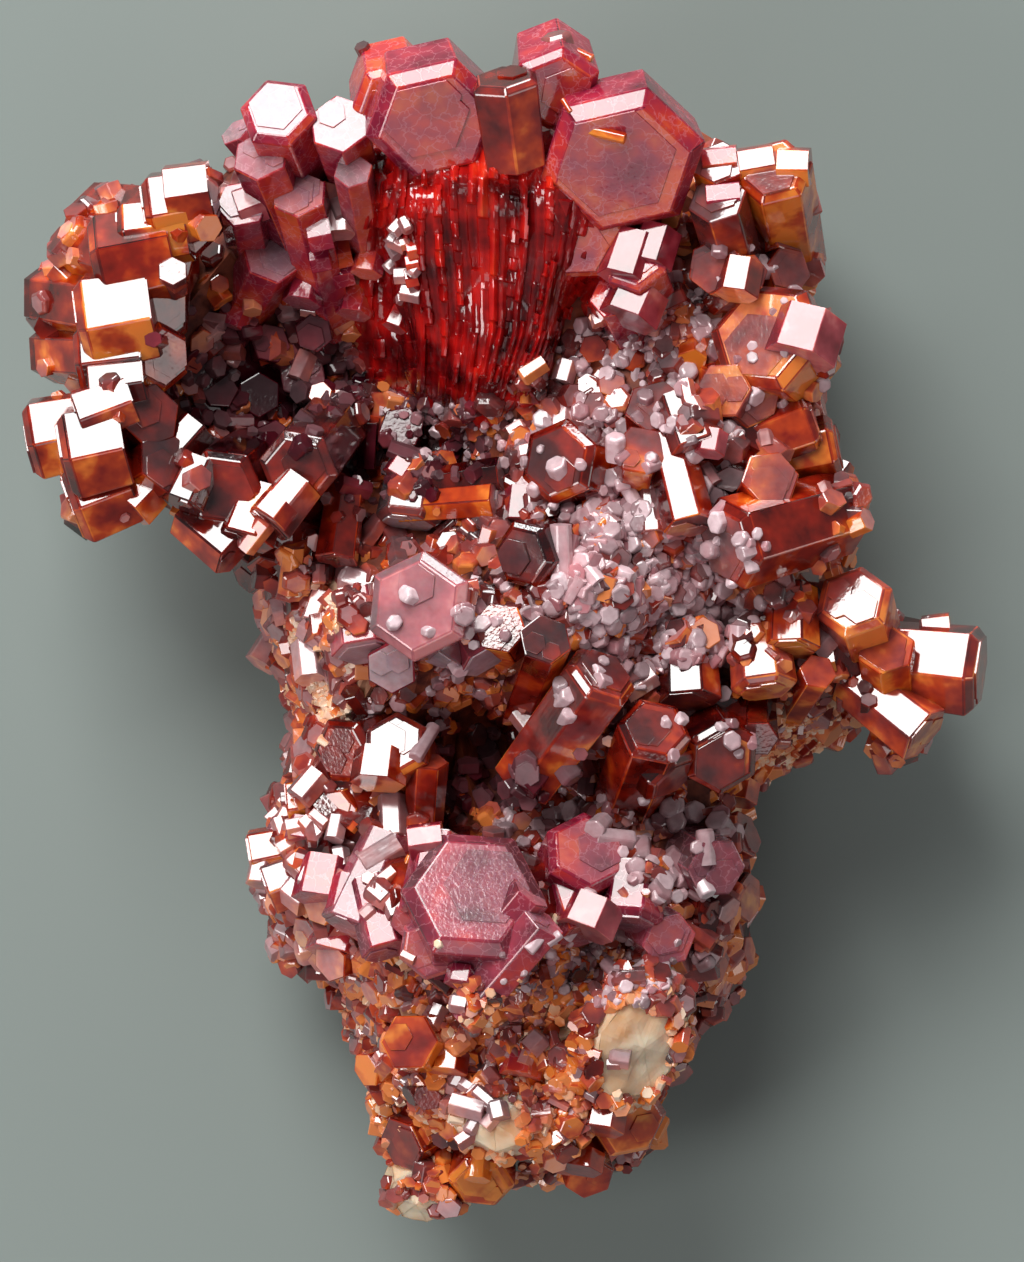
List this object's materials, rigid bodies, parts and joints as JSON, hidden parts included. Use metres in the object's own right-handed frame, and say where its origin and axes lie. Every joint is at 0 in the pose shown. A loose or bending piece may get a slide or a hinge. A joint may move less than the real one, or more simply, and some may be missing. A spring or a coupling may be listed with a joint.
{
  "type": "vanadinite on matrix",
  "caption": "Mineral specimen: clustered hexagonal vanadinite crystals with thin baryte blades on a lumpy rock matrix, lying on its flat broken back.",
  "frame": {"origin": "centre of the specimen's box, at the height of its flat back", "axes": "+X to the picture's right, +Y to the picture's top, +Z out of the crystal face towards the viewer"},
  "size_m": [0.0484, 0.0604, 0.0241],
  "materials": {
    "matrix": "rough",
    "baryte": "satin",
    "vanadinite": "gloss",
    "druse": "gloss",
    "lilac": "gloss"
  },
  "bodies": {
    "root": {"baryte_blades": "baryte", "bluff_crystals": "vanadinite", "bowl_druse": "druse", "bowl_rim_crystals": "vanadinite", "cave_rim_crystals": "vanadinite", "centre_crystals": "vanadinite", "comb_crystals": "vanadinite", "crown_crystals": "vanadinite", "crown_west_crystals": "vanadinite", "east_crystals": "vanadinite", "east_flank_crystals": "vanadinite", "foot_crystals": "vanadinite", "heel_blade": "baryte", "lilac_plate": "lilac", "matrix": "matrix", "plate_seat_crystals": "vanadinite", "shoulder_crystals": "vanadinite", "spur_crystals": "vanadinite", "west_flank_crystals": "vanadinite", "wing_crystals": "vanadinite"}
  },
  "joints": []
}
